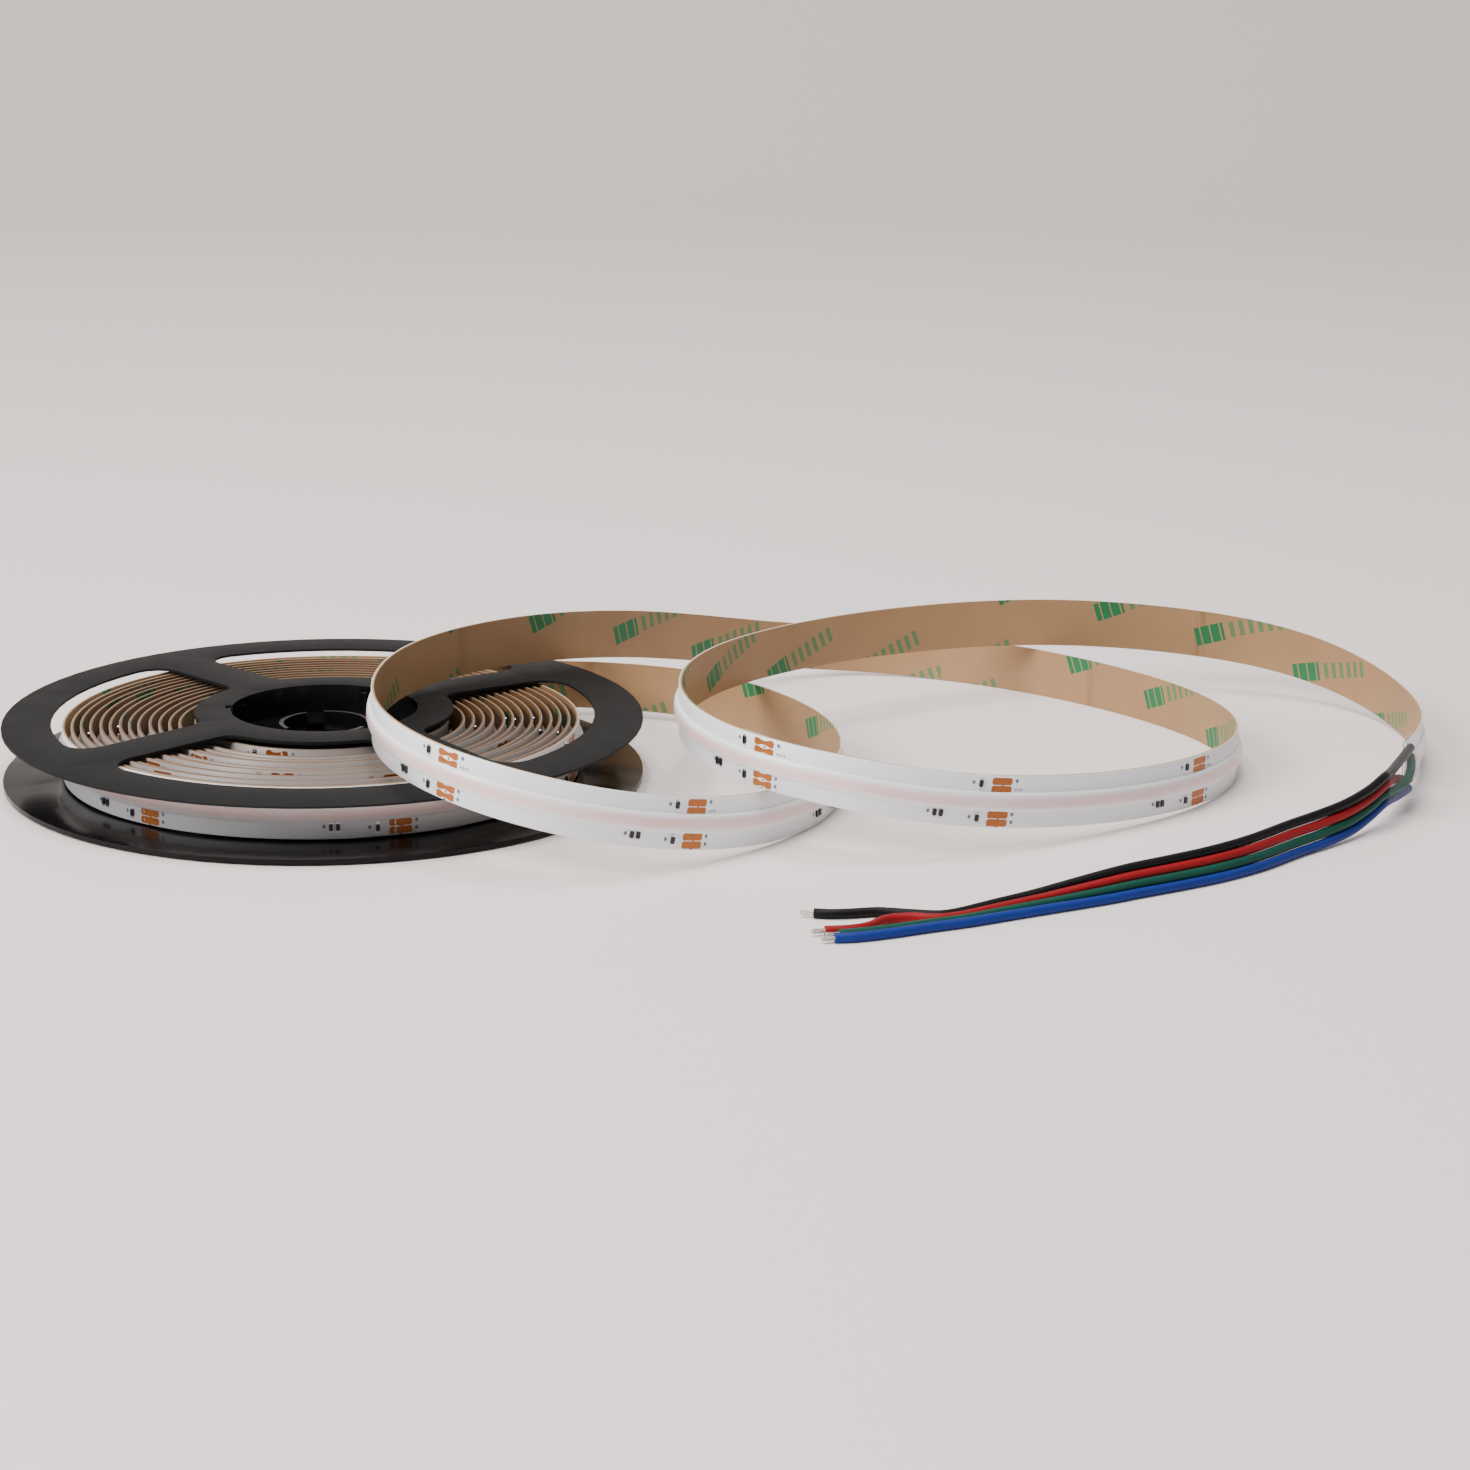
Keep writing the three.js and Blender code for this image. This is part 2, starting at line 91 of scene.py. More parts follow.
# Guide points of the free strip's lower edge, a uniform cubic B-spline
GUIDE_SPACING = 28
FREE_STRIP_GUIDE = [
    (50.5, 49.5, 1.6), (74.5, 42.5, 1.7), (93, 25.5, 0.6), (103, 0.5, 0.5), (101.5, -27, 0.1),
    (85.5, -52, 0), (58, -71, 6.4), (33.5, -71, 12.9), (16.5, -50.5, 14.8), (10, -19, 13.7),
    (13.5, 11.5, 14.3), (34.5, 33.5, 15.2), (60.5, 55, 11.7), (85, 77.5, 3.6), (109, 88, 0.4),
    (134, 79.5, 0), (158, 60.5, 0), (177, 36, 0), (184.5, 9.5, 0), (175, -16.5, 0.2),
    (150, -38.5, 1.6), (120, -55, 5.8), (94, -57, 11.5), (76, -39, 12), (68, -7.5, 11.6),
    (75, 22, 12), (97.5, 45.5, 12.2), (123.5, 61.5, 12), (150.5, 71, 11.2), (177, 73.5, 8.8),
    (198.5, 69.5, 6.2), (213.5, 58, 2.6), (220.5, 40.5, 0.2), (221.5, 19.5, 0), (215.5, -3.5, 1.2),
    (203.5, -27.5, 1), (193, -53, 0.8),
]
SPLICE_PLACE = 18

# Sleeve: its reach before and after the board's end, and the edges of its bore, as offsets and heights
# at its start, round the board, and at its lip
SLEEVE_BEFORE_END = 6
SLEEVE_AFTER_END = 21
SLEEVE_WALL = 0.3
SLEEVE_INNER = (-0.7, 0.1)
SLEEVE_OUTER = (1.9, 2.5)
SLEEVE_LOW = (-0.5, 1.4)
SLEEVE_HIGH = (10.6, 9.2)
SLEEVE_CORNER = 0.9
SLEEVE_BULGE = 2.5
SLEEVE_RINGS = 40
SLEEVE_CORNER_POINTS = 7

# Wires: inside the sleeve (distance after the board's end, offset outward, height over the strip's
# lower edge), then the bonded cable's lowest wire (x, y, z, lean of the stack in degrees), then each
# wire's free end.
WIRE_RADIUS = 0.89
WIRE_PITCH = 1.8
SLEEVED_RUNS = {
    "blue": [(0.4, 1.3, 0.95), (10, 1.3, 1.6), (16, 1.3, 2.3)],
    "green": [(0.4, 1.4, 7.4), (4, 2.4, 6.9), (8, 3.2, 6), (12, 3.2, 5), (16, 2.3, 4.45)],
    "red": [(0.4, 1.3, 2.75), (4, 1.3, 3.4), (9, 1.3, 4.9), (13, 1.3, 5.7), (16, 1.3, 6)],
    "black": [(0.4, 1.3, 9.2), (8, 1.3, 8.5), (16, 1.3, 7.85)],
}
LIP_OFFSET = 1.3
LIP_HEIGHT = 2.6
LIP_INSET = 0.01
CABLE_ROUTE = [
    (201.8, -33, 2.6, 88), (197.2, -39.4, 1.6, 78), (191.6, -45.4, 1.1, 68), (186.3, -50.6, 0.9, 62),
    (177.5, -60.4, 0.9, 54), (169.3, -67.4, 0.9, 49), (161.5, -72.6, 0.9, 45), (153.9, -77.2, 0.9, 40),
    (148.2, -80.8, 0.9, 32), (142.5, -84, 0.9, 22), (136.9, -87, 0.9, 13), (129.6, -91, 0.9, 6),
    (122.4, -95, 0.9, 0),
]
FREE_ENDS = {
    "blue": [(115.3, -98.3, 0.9), (108.2, -101.8, 0.9), (102, -104.2, 0.9), (98.6, -104.8, 0.9)],
    "green": [(115, -96.4, 0.9), (107.8, -99.8, 0.9), (101.8, -102, 0.9), (99.4, -102.6, 0.9)],
    "red": [(116.8, -93.3, 0.9), (112, -92.8, 0.9), (107.8, -94.2, 0.9), (104.6, -98.2, 0.9),
            (101.6, -99.9, 0.9), (97, -100.8, 0.9)],
    "black": [(117, -91.3, 0.9), (112, -90.7, 0.9), (106.5, -89.8, 0.9), (101.5, -90.8, 0.9),
              (98, -91.2, 0.9), (95.3, -90.8, 0.9)],
}
WIRE_ORDER = ["blue", "green", "red", "black"]


def guide_points():
    """The guide, led by three points that carry on the wound turn's arc: on the arc's tangent frame at
    the exit, point k lies k spacings ahead and (1/6 - k*k/2) * spacing^2 / radius outward."""
    angle = math.radians(EXIT_ANGLE)
    outward = np.array([math.cos(angle), math.sin(angle)])
    ahead = np.array([outward[1], -outward[0]])
    bend = GUIDE_SPACING ** 2 / EXIT_RADIUS
    lead = []
    for step in (-1, 0, 1):
        rise = bend / 6 - bend * step * step / 2
        plan = (EXIT_RADIUS + rise) * outward + step * GUIDE_SPACING * ahead
        lead.append((plan[0], plan[1], WOUND_BOTTOM))
    return np.array(lead + FREE_STRIP_GUIDE)


GUIDE = guide_points()
ROUTE_END = len(GUIDE) - 3
BOARD_END = ROUTE_END - SLEEVE_AFTER_END / GUIDE_SPACING

# Stations along the strip: their number on a turn and on a guide spacing, and the least gap between
# the end of a piece and the first station on it
STATIONS_A_TURN = 96
STATIONS_A_SPACING = 24
STATION_MARGIN = 0.05
TURNS_LEFT = np.linspace(WOUND_TURNS, 0, WOUND_TURNS * STATIONS_A_TURN, endpoint=False)
PLACES = np.linspace(0, ROUTE_END, ROUTE_END * STATIONS_A_SPACING + 1)


def free_strip(place):
    """Lower-edge points, outward normals and upright heights at places counted in guide spacings: the
    uniform cubic B-spline of the guide, the plan normal of its slope, and the width divided by the
    cosine of its climb."""
    place = np.asarray(place, float)
    span = np.clip(np.floor(place).astype(int), 0, ROUTE_END - 1)
    t = place - span
    weights = np.array([(1 - t) ** 3, 3 * t ** 3 - 6 * t ** 2 + 4,
                        3 * (1 - t) ** 3 - 6 * (1 - t) ** 2 + 4, t ** 3]) / 6
    slopes = np.array([-(1 - t) ** 2, 3 * t ** 2 - 4 * t,
                       4 * (1 - t) - 3 * (1 - t) ** 2, t ** 2]) / 2
    corners = np.stack([GUIDE[span + k] for k in range(4)])
    points = np.einsum("kn,kna->na", weights, corners)
    slope = np.einsum("kn,kna->na", slopes, corners)
    run = np.hypot(slope[:, 0], slope[:, 1])
    normals = np.stack([-slope[:, 1], slope[:, 0]], 1) / run[:, None]
    return points, normals, STRIP_WIDTH * np.hypot(1, slope[:, 2] / run)


def wound_strip(turns_left):
    """Points, normals and heights on the wound turns: a spiral whose radius falls by one pitch a turn.
    Shifts and lifts are added times sin^2(pi * turns), which is 0 at the back and 1 at the front."""
    angle = math.radians(EXIT_ANGLE) + 2 * math.pi * turns_left
    turn = np.clip(np.floor(turns_left).astype(int), 0, WOUND_TURNS - 1)
    front = np.sin(math.pi * turns_left) ** 2
    radius = EXIT_RADIUS - TURN_PITCH * turns_left + front * np.array(FRONT_SHIFTS)[turn]
    lift = front * np.array(FRONT_LIFTS)[turn]
    normals = np.stack([np.cos(angle), np.sin(angle)], 1)
    points = np.column_stack([radius[:, None] * normals, WOUND_BOTTOM + lift])
    return points, normals, np.full(len(radius), float(STRIP_WIDTH))


def whole_strip():
    """The wound turns and the free strip as one row of stations, with the distance from the exit."""
    parts = zip(wound_strip(TURNS_LEFT), free_strip(PLACES))
    points, normals, heights = (np.concatenate(pair) for pair in parts)
    steps = np.linalg.norm(np.diff(points, axis=0), axis=1)
    distance = np.concatenate([[0], np.cumsum(steps)])
    return distance - distance[len(TURNS_LEFT)], points, normals, heights


DISTANCE, POINTS, NORMALS, HEIGHTS = whole_strip()
CLIMB = np.gradient(POINTS[:, 2]) / np.hypot(np.gradient(POINTS[:, 0]), np.gradient(POINTS[:, 1]))
FREE_DISTANCE = DISTANCE[-len(PLACES):]
STRIP_START = float(DISTANCE[0])
SPLICE = float(np.interp(SPLICE_PLACE, PLACES, FREE_DISTANCE))
STRIP_END = float(np.interp(BOARD_END, PLACES, FREE_DISTANCE))


def on_upright(distance, across, offset):
    """Places on the upright line that stands on the lower edge at the distance: up it by across, out
    from the board's inner face by offset. The result has one more axis for x, y, z."""
    distance, across, offset = np.broadcast_arrays(distance, across, offset)
    point = np.stack([np.interp(distance, DISTANCE, POINTS[:, axis]) for axis in range(3)], -1)
    normal = np.stack([np.interp(distance, DISTANCE, NORMALS[:, axis]) for axis in range(2)], -1)
    height = np.interp(distance, DISTANCE, HEIGHTS)
    point[..., :2] += offset[..., None] * normal
    point[..., 2] += across / STRIP_WIDTH * height
    return point


def lean_back(distance, across):
    """How far a line square to the strip runs back from the upright one: across * tan(climb)."""
    return across * np.interp(distance, DISTANCE, CLIMB)


def on_strip(distance, across, offset):
    """Places square to the strip: along it by distance, across it from the lower edge, outward."""
    return on_upright(distance - lean_back(distance, across), across, offset)


# Meshes

def make_piece(name, points, faces, material, uv=None, smooth=True):
    """A mesh object from points in millimetres and lists of corner numbers. uv has one row a point."""
    mesh = bpy.data.meshes.new(name)
    mesh.from_pydata(((points + REEL_CENTRE) * MM).tolist(), [], faces)
    if uv is not None:
        layer = mesh.uv_layers.new(name="strip")
        corners = np.empty(len(mesh.loops), int)
        mesh.loops.foreach_get("vertex_index", corners)
        layer.data.foreach_set("uv", uv[corners].astype(np.float32).ravel())
    mesh.polygons.foreach_set("use_smooth", [smooth] * len(mesh.polygons))
    mesh.materials.append(material)
    mesh.update()
    piece = bpy.data.objects.new(name, mesh)
    bpy.context.scene.collection.objects.link(piece)
    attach(piece, "root")
    return piece


def sweep_faces(rings, sides, closed_ends=True):
    """Quads between neighbouring rings of a sweep, and one face at each end. They look outward where
    the rings run anticlockwise, seen against the sweep's run."""
    ring = np.arange(rings - 1)[:, None] * sides
    side = np.arange(sides)[None, :]
    after = (side + 1) % sides
    quads = np.stack(np.broadcast_arrays(ring + side, ring + after, ring + after + sides,
                                         ring + side + sides), -1)
    faces = quads.reshape(-1, 4).tolist()
    if closed_ends:
        last = (rings - 1) * sides
        faces.append(list(range(sides))[::-1])
        faces.append(list(range(last, last + sides)))
    return faces


def ribbon(name, start, end, section, material, smooth=True):
    """A section carried along the strip, on the stations between its ends. The section is a loop of
    (offset, across), anticlockwise seen against the strip's run; the UV map holds the distance and the
    height across in millimetres."""
    inside = (DISTANCE > start + STATION_MARGIN) & (DISTANCE < end - STATION_MARGIN)
    distance = np.concatenate([[start], DISTANCE[inside], [end]])
    offset, across = np.array(section, float).T
    points = on_upright(distance[:, None], across[None, :], offset[None, :])
    square = distance[:, None] + lean_back(distance[:, None], across[None, :])
    uv = np.stack(np.broadcast_arrays(square, across[None, :]), -1).reshape(-1, 2)
    faces = sweep_faces(len(distance), len(section))
    return make_piece(name, points.reshape(-1, 3), faces, material, uv, smooth)


def board_parts(name, centres, outline, height, material):
    """Flat parts on the board's face: each centre (distance, across) carries the outline, a loop of
    (along, up) in millimetres, from the face up to the height, and its top is a fan round a middle
    point. The UV map holds the centre's distance and height."""
    centres = np.array(centres, float)
    outline = np.array(outline, float)
    low, high = BOARD_THICKNESS, BOARD_THICKNESS + height
    count, sides = len(centres), len(outline)
    along = centres[:, None, 0] + outline[None, :, 0]
    up = centres[:, None, 1] + outline[None, :, 1]
    rings = np.stack([on_strip(along, up, np.full_like(along, low)),
                      on_strip(along, up, np.full_like(along, high))], 1)
    middles = on_strip(centres[:, 0], centres[:, 1], np.full(count, high))
    points = np.concatenate([rings.reshape(count, -1, 3), middles[:, None]], 1).reshape(-1, 3)
    side = np.arange(sides)
    after = (side + 1) % sides
    walls = np.stack([side, after, after + sides, side + sides], 1)
    tops = np.stack([side + sides, after + sides, np.full(sides, 2 * sides)], 1)
    faces = []
    for first in np.arange(count) * (2 * sides + 1):
        faces += (walls + first).tolist() + (tops + first).tolist() + [(side[::-1] + first).tolist()]
    uv = np.repeat(centres, 2 * sides + 1, axis=0)
    return make_piece(name, points, faces, material, uv, smooth=False)


def rounded_rectangle(width, height, corner, steps):
    """A loop of (along, up) with quarter-circle corners. It runs clockwise, so that parts laid on the
    board's outer face look outward."""
    loop = []
    for x, y, turn in ((1, 1, 0), (-1, 1, 90), (-1, -1, 180), (1, -1, 270)):
        for angle in np.radians(turn + np.linspace(0, 90, steps + 1)):
            loop.append((x * (width / 2 - corner) + corner * math.cos(angle),
                         y * (height / 2 - corner) + corner * math.sin(angle)))
    return loop[::-1]


# Materials

def linear(hex_colour):
    """An sRGB hex colour as linear red, green, blue and full alpha."""
    values = [int(hex_colour[i:i + 2], 16) / 255 for i in (1, 3, 5)]
    return [v / 12.92 if v <= 0.04045 else ((v + 0.055) / 1.055) ** 2.4 for v in values] + [1]


def add_node(tree, kind, inputs, **settings):
    """A node with its settings; each input is a value or another node's output to link."""
    node = tree.nodes.new(kind)
    for key, value in settings.items():
        setattr(node, key, value)
    for key, value in inputs.items():
        if isinstance(value, bpy.types.NodeSocket):
            tree.links.new(value, node.inputs[key])
        else:
            node.inputs[key].default_value = value
    return node


def plain_material(name, colour, roughness, **inputs):
    """A Principled material with its plain values set on the shader's own sockets."""
    material = bpy.data.materials.new(name)
    material.use_nodes = True
    material.diffuse_color = linear(colour)
    shader = material.node_tree.nodes["Principled BSDF"]
    shader.inputs["Base Color"].default_value = linear(colour)
    shader.inputs["Roughness"].default_value = roughness
    for key, value in inputs.items():
        shader.inputs[key.replace("_", " ")].default_value = value
    return material, material.node_tree, shader


def mottle(tree, shader, colour_a, colour_b, size, detail=3.0):
    """Base colour wandering between two colours in patches of about the given size in millimetres. A
    colour Mix node takes its share as input 0 and its colours as 6 and 7, and gives output 2."""
    place = add_node(tree, "ShaderNodeTexCoord", {}).outputs["Object"]
    noise = add_node(tree, "ShaderNodeTexNoise", {"Vector": place, "Scale": 1 / (size * MM),
                                                  "Detail": detail})
    blend = add_node(tree, "ShaderNodeMix", {0: noise.outputs["Fac"], 6: linear(colour_a),
                                             7: linear(colour_b)}, data_type="RGBA")
    tree.links.new(blend.outputs[2], shader.inputs["Base Color"])


def grain(tree, shader, size, depth):
    """Fine bumps: noise of the given size and depth in millimetres."""
    place = add_node(tree, "ShaderNodeTexCoord", {}).outputs["Object"]
    noise = add_node(tree, "ShaderNodeTexNoise", {"Vector": place, "Scale": 1 / (size * MM),
                                                  "Detail": 2.0})
    bump = add_node(tree, "ShaderNodeBump", {"Height": noise.outputs["Fac"], "Strength": 1.0,
                                             "Distance": depth * MM})
    tree.links.new(bump.outputs["Normal"], shader.inputs["Normal"])


# Painted shade on the coil, whose turns shade each other: the colour that multiplies its white parts, in
# full at and before this distance
FULL_SHADE_DISTANCE = -450
COIL_SHADE_COLOUR = "#988d86"


def paint_coil_shade(tree, shader, painted_shade):
    """Painted shade on the wound turns: multiplies the base colour by a shade colour, not at all where the
    strip leaves them, and in full from the middle of the second turn inward."""
    colour = shader.inputs["Base Color"].links[0].from_socket
    uv = add_node(tree, "ShaderNodeUVMap", {}, uv_map="strip").outputs["UV"]
    distance = add_node(tree, "ShaderNodeSeparateXYZ", {"Vector": uv}).outputs["X"]
    share = add_node(tree, "ShaderNodeMapRange", {"Value": distance, "To Min": 1.0, "To Max": 0.0,
                                                  "From Min": FULL_SHADE_DISTANCE, "From Max": 0})
    blend = add_node(tree, "ShaderNodeMix", {0: share.outputs[0], 6: colour, 7: linear(painted_shade)},
                     data_type="RGBA", blend_type="MULTIPLY")
    tree.links.new(blend.outputs[2], shader.inputs["Base Color"])


def spark_eroded_plastic():
    """Black polystyrene off an eroded mould face: matte and greyish where light grazes it. Its grain
    is drawn coarser than the real 0.1 mm, so that it shows."""
    material, tree, shader = plain_material("spark eroded polystyrene", "#161717", 0.6,
                                            Specular_IOR_Level=0.14)
    mottle(tree, shader, "#141515", "#171818", 14)
    grain(tree, shader, 0.35, 0.03)
    return material


def polished_plastic():
    """The same polystyrene off a polished mould face: near black, with clear reflections."""
    material, tree, shader = plain_material("polished polystyrene", "#0b0b0b", 0.2,
                                            Specular_IOR_Level=0.15)
    mottle(tree, shader, "#0a0a0a", "#0e0d0d", 20)
    return material


def solder_mask():
    """White solder mask over a flexible board: smooth, satin, very slightly blue."""
    material, tree, shader = plain_material("white solder mask", "#eceef2", 0.38)
    mottle(tree, shader, "#e9ebf0", "#f1f2f5", 9)
    # painted shade on the wound turns
    paint_coil_shade(tree, shader, COIL_SHADE_COLOUR)
    return material


def cut_edge():
    """The board's slit edge: polyimide and glue between the foils, a dull cream line."""
    material, tree, shader = plain_material("cut polyimide edge", "#d3c4b4", 0.7)
    mottle(tree, shader, "#cfbfae", "#d8cabc", 5)
    # painted shade on the wound turns
    paint_coil_shade(tree, shader, COIL_SHADE_COLOUR)
    return material


# The light line's pink core: full and gone at these gaps from the middle, and strong or weak in clouds
# of 20 by 5 millimetres
CORE_FULL = 0.35
CORE_GONE = 1.65
CORE_CLOUD = (1 / 20, 1 / 5, 1)


def milky_silicone():
    """Phosphor-filled silicone: milky white, with a faint pink core whose strength wanders along it."""
    material, tree, shader = plain_material("phosphor silicone", "#f1dfde", 0.3,
                                            Subsurface_Weight=0.2, Subsurface_Scale=0.5 * MM)
    uv = add_node(tree, "ShaderNodeUVMap", {}, uv_map="strip").outputs["UV"]
    across = add_node(tree, "ShaderNodeSeparateXYZ", {"Vector": uv}).outputs["Y"]
    off_middle = add_node(tree, "ShaderNodeMath", {0: across, 1: STRIP_WIDTH / 2}, operation="SUBTRACT")
    off_middle = add_node(tree, "ShaderNodeMath", {0: off_middle.outputs[0]}, operation="ABSOLUTE")
    core = add_node(tree, "ShaderNodeMapRange", {"Value": off_middle.outputs[0], "From Min": CORE_FULL,
                                                 "From Max": CORE_GONE, "To Min": 1.0, "To Max": 0.0},
                    interpolation_type="SMOOTHSTEP")
    stretched = add_node(tree, "ShaderNodeVectorMath", {0: uv, 1: CORE_CLOUD}, operation="MULTIPLY")
    cloud = add_node(tree, "ShaderNodeTexNoise", {"Vector": stretched.outputs[0], "Scale": 1.0})
    strength = add_node(tree, "ShaderNodeMath", {0: core.outputs[0], 1: cloud.outputs["Fac"]},
                        operation="MULTIPLY")
    blend = add_node(tree, "ShaderNodeMix", {0: strength.outputs[0], 6: linear("#eff0f3"),
                                             7: linear("#f0b2ac")}, data_type="RGBA")
    tree.links.new(blend.outputs[2], shader.inputs["Base Color"])
    # painted shade on the wound turns
    paint_coil_shade(tree, shader, COIL_SHADE_COLOUR)
    return material


# The liner's print stands in rows that slant by some degrees. A row has a block, solid but for thin
# slits, and a run of bars. Both are bars at even steps: their reach along the row, half their height,
# the step and where the ink starts and ends in it. The print starts afresh where a new length of paper
# starts: the distance of that place, and how far the print moves there (along, across).
PRINT_SLANT = 22
ROW_STEP = 11.4
ROW_SHIFT = 19.4
PRINT_BLOCK = {"reach": (1, 7.2), "half_height": 2, "step": 2.1, "ink": (0.294, 2.1)}
PRINT_BARS = {"reach": (8.4, 20.6), "half_height": 1.7, "step": 2.05, "ink": (0.246, 1.271)}
PRINT_START = (10, 1.8, 0)
PRINT_SHIFTS = [(470, (9.1, -2.1, 0)), (700, (32.7, 1.2, 0))]
CREASE_DEPTH = 0.15


def print_places(tree, uv):
    """Where a point lies in the print: how far along its row's pattern, and how far up in the row. The
    UV map is moved by the shifts reached so far and turned back by the slant. Rows lie a step apart,
    each starts one shift before the row below, and the pattern repeats every two shifts."""
    distance = add_node(tree, "ShaderNodeSeparateXYZ", {"Vector": uv}).outputs["X"]
    moved = add_node(tree, "ShaderNodeVectorMath", {0: uv, 1: PRINT_START}, operation="ADD").outputs[0]
    for start, shift in PRINT_SHIFTS:
        reached = add_node(tree, "ShaderNodeMath", {0: distance, 1: start}, operation="GREATER_THAN")
        moved = add_node(tree, "ShaderNodeVectorMath", {0: reached.outputs[0], 1: shift, 2: moved},
                         operation="MULTIPLY_ADD").outputs[0]
    turned = add_node(tree, "ShaderNodeVectorRotate",
                      {"Vector": moved, "Angle": -math.radians(PRINT_SLANT)}, rotation_type="Z_AXIS")
    x, y, _ = add_node(tree, "ShaderNodeSeparateXYZ", {"Vector": turned.outputs["Vector"]}).outputs
    row = add_node(tree, "ShaderNodeMath", {0: y, 1: ROW_STEP}, operation="DIVIDE").outputs[0]
    row = add_node(tree, "ShaderNodeMath", {0: row}, operation="FLOOR").outputs[0]
    along = add_node(tree, "ShaderNodeMath", {0: row, 1: ROW_SHIFT, 2: x}, operation="MULTIPLY_ADD")
    along = add_node(tree, "ShaderNodeMath", {0: along.outputs[0], 1: 2 * ROW_SHIFT},
                     operation="FLOORED_MODULO").outputs[0]
    up = add_node(tree, "ShaderNodeMath", {0: y, 1: ROW_STEP}, operation="FLOORED_MODULO").outputs[0]
    return along, up


def printed_bars(tree, along, up, reach, half_height, step, ink):
    """1 on upright bars at even steps and 0 beside them: the point is within the reach along the row,
    within the half height of its middle, and within the inked stretch of its step."""
    in_step = add_node(tree, "ShaderNodeMath", {0: along, 1: step}, operation="FLOORED_MODULO").outputs[0]
    height = (ROW_STEP / 2 - half_height, ROW_STEP / 2 + half_height)
    mask = 1.0
    for value, (low, high) in ((along, reach), (up, height), (in_step, ink)):
        inside = add_node(tree, "ShaderNodeMath", {0: value, 1: (low + high) / 2, 2: (high - low) / 2},
                          operation="COMPARE")
        mask = add_node(tree, "ShaderNodeMath", {0: mask, 1: inside.outputs[0]},
                        operation="MULTIPLY").outputs[0]
    return mask


def release_paper():
    """Tan kraft release paper with a thin silicone sheen, creased across where it was folded, with painted
    shade darkening the folds, and printed with slanting rows of plain green blocks and bars."""
    material, tree, shader = plain_material("kraft release paper", "#b08f6d", 0.5)
    uv = add_node(tree, "ShaderNodeUVMap", {}, uv_map="strip").outputs["UV"]
    along, up = print_places(tree, uv)
    crease = add_node(tree, "ShaderNodeAttribute", {}, attribute_name="crease").outputs["Fac"]
    mottle(tree, shader, "#92704b", "#a3815b", 12, detail=2.0)
    paper = shader.inputs["Base Color"].links[0].from_socket
    layers = [
        # painted shade: the paper is drawn darker along its folds, which are also bumped below
        (crease, 0.6, "#7d5a39"),
        (printed_bars(tree, along, up, **PRINT_BARS), 0.75, "#1f7446"),
        (printed_bars(tree, along, up, **PRINT_BLOCK), 1.0, "#0a6b3c"),
    ]
    for mask, strength, colour in layers:
        share = add_node(tree, "ShaderNodeMath", {0: mask, 1: strength}, operation="MULTIPLY").outputs[0]
        paper = add_node(tree, "ShaderNodeMix", {0: share, 6: paper, 7: linear(colour)},
                         data_type="RGBA").outputs[2]
    tree.links.new(paper, shader.inputs["Base Color"])
    # painted shade on the wound turns, with its own shade colour for the paper
    paint_coil_shade(tree, shader, "#ab9f91")
    fold = add_node(tree, "ShaderNodeBump", {"Height": crease, "Strength": 1.0,
                                             "Distance": CREASE_DEPTH * MM})
    tree.links.new(fold.outputs["Normal"], shader.inputs["Normal"])
    return material


def pad_copper():
    """Bare copper pads under a clear preservative: satin orange metal."""
    material, tree, shader = plain_material("preserved copper", "#ae6428", 0.42, Metallic=0.35)
    mottle(tree, shader, "#a2571e", "#bb7138", 1.2)
    # painted shade on the wound turns, with its own shade colour for the copper
    paint_coil_shade(tree, shader, "#cdbbaa")
    return material


def silkscreen():
    """White ink under the resistors: flat, a touch whiter than the mask."""
    material, tree, shader = plain_material("white silkscreen", "#f6f7f9", 0.5)
    mottle(tree, shader, "#f3f4f6", "#f8f9fa", 3)
    # painted shade on the wound turns
    paint_coil_shade(tree, shader, COIL_SHADE_COLOUR)
    return material


def insulation(name, colour, deep):
    """Extruded vinyl insulation: even colour, a faint soft sheen and slight waviness along it."""
    material, tree, shader = plain_material(name, colour, 0.48, Specular_IOR_Level=0.16)
    mottle(tree, shader, colour, deep, 6)
    grain(tree, shader, 1.6, 0.06)
    return material


def tinned_copper():
    """Solder-dipped strands: bright, slightly grey metal."""
    material, tree, shader = plain_material("tinned strands", "#bdbab4", 0.3, Metallic=1.0)
    grain(tree, shader, 0.3, 0.05)
    return material


def clear_shrink_tube():
    """Clear polyolefin shrink tube: a thin film that shows mostly by its highlights."""
    material, tree, shader = plain_material("clear polyolefin", "#f2f2f6", 0.12, Alpha=0.03,
                                            Specular_IOR_Level=0.6, Coat_Weight=0.3)
    grain(tree, shader, 5, 0.5)
    return material


PLASTIC_MATTE = spark_eroded_plastic()
PLASTIC_GLOSS = polished_plastic()
MASK = solder_mask()
SILICONE = milky_silicone()
PAPER = release_paper()
COPPER = pad_copper()
TINNED = tinned_copper()
CLEAR = clear_shrink_tube()
# Fired glaze over the resistors' film: black, with a small soft highlight
RESISTOR_BODY = plain_material("black glaze", "#141416", 0.35)[0]
# Plated tin on the resistors' ends: bright metal caps
RESISTOR_END = plain_material("tin plate", "#d8d8da", 0.3, Metallic=1.0)[0]
# Marking ink screened on the mask: flat grey blue
PRINT_INK = plain_material("grey blue marking ink", "#6e7188", 0.6)[0]
# Foil laid bare and tarnished at the cut line: dull brown ticks
BARE_FOIL = plain_material("bare foil at the cut", "#6a4a38", 0.6)[0]
SILK_WHITE = silkscreen()
CUT_EDGE = cut_edge()
WIRE_FINISH = {
    "blue": insulation("blue vinyl", "#17307f", "#14296e"),
    "green": insulation("green vinyl", "#0f4a3d", "#0b3c31"),
    "red": insulation("red vinyl", "#8c141b", "#781015"),
    "black": insulation("black vinyl", "#0a0a0b", "#0f0f10"),
}


# Camera, matched to the photograph's frame of 1470 by 1470 pixels, with its angles in radians

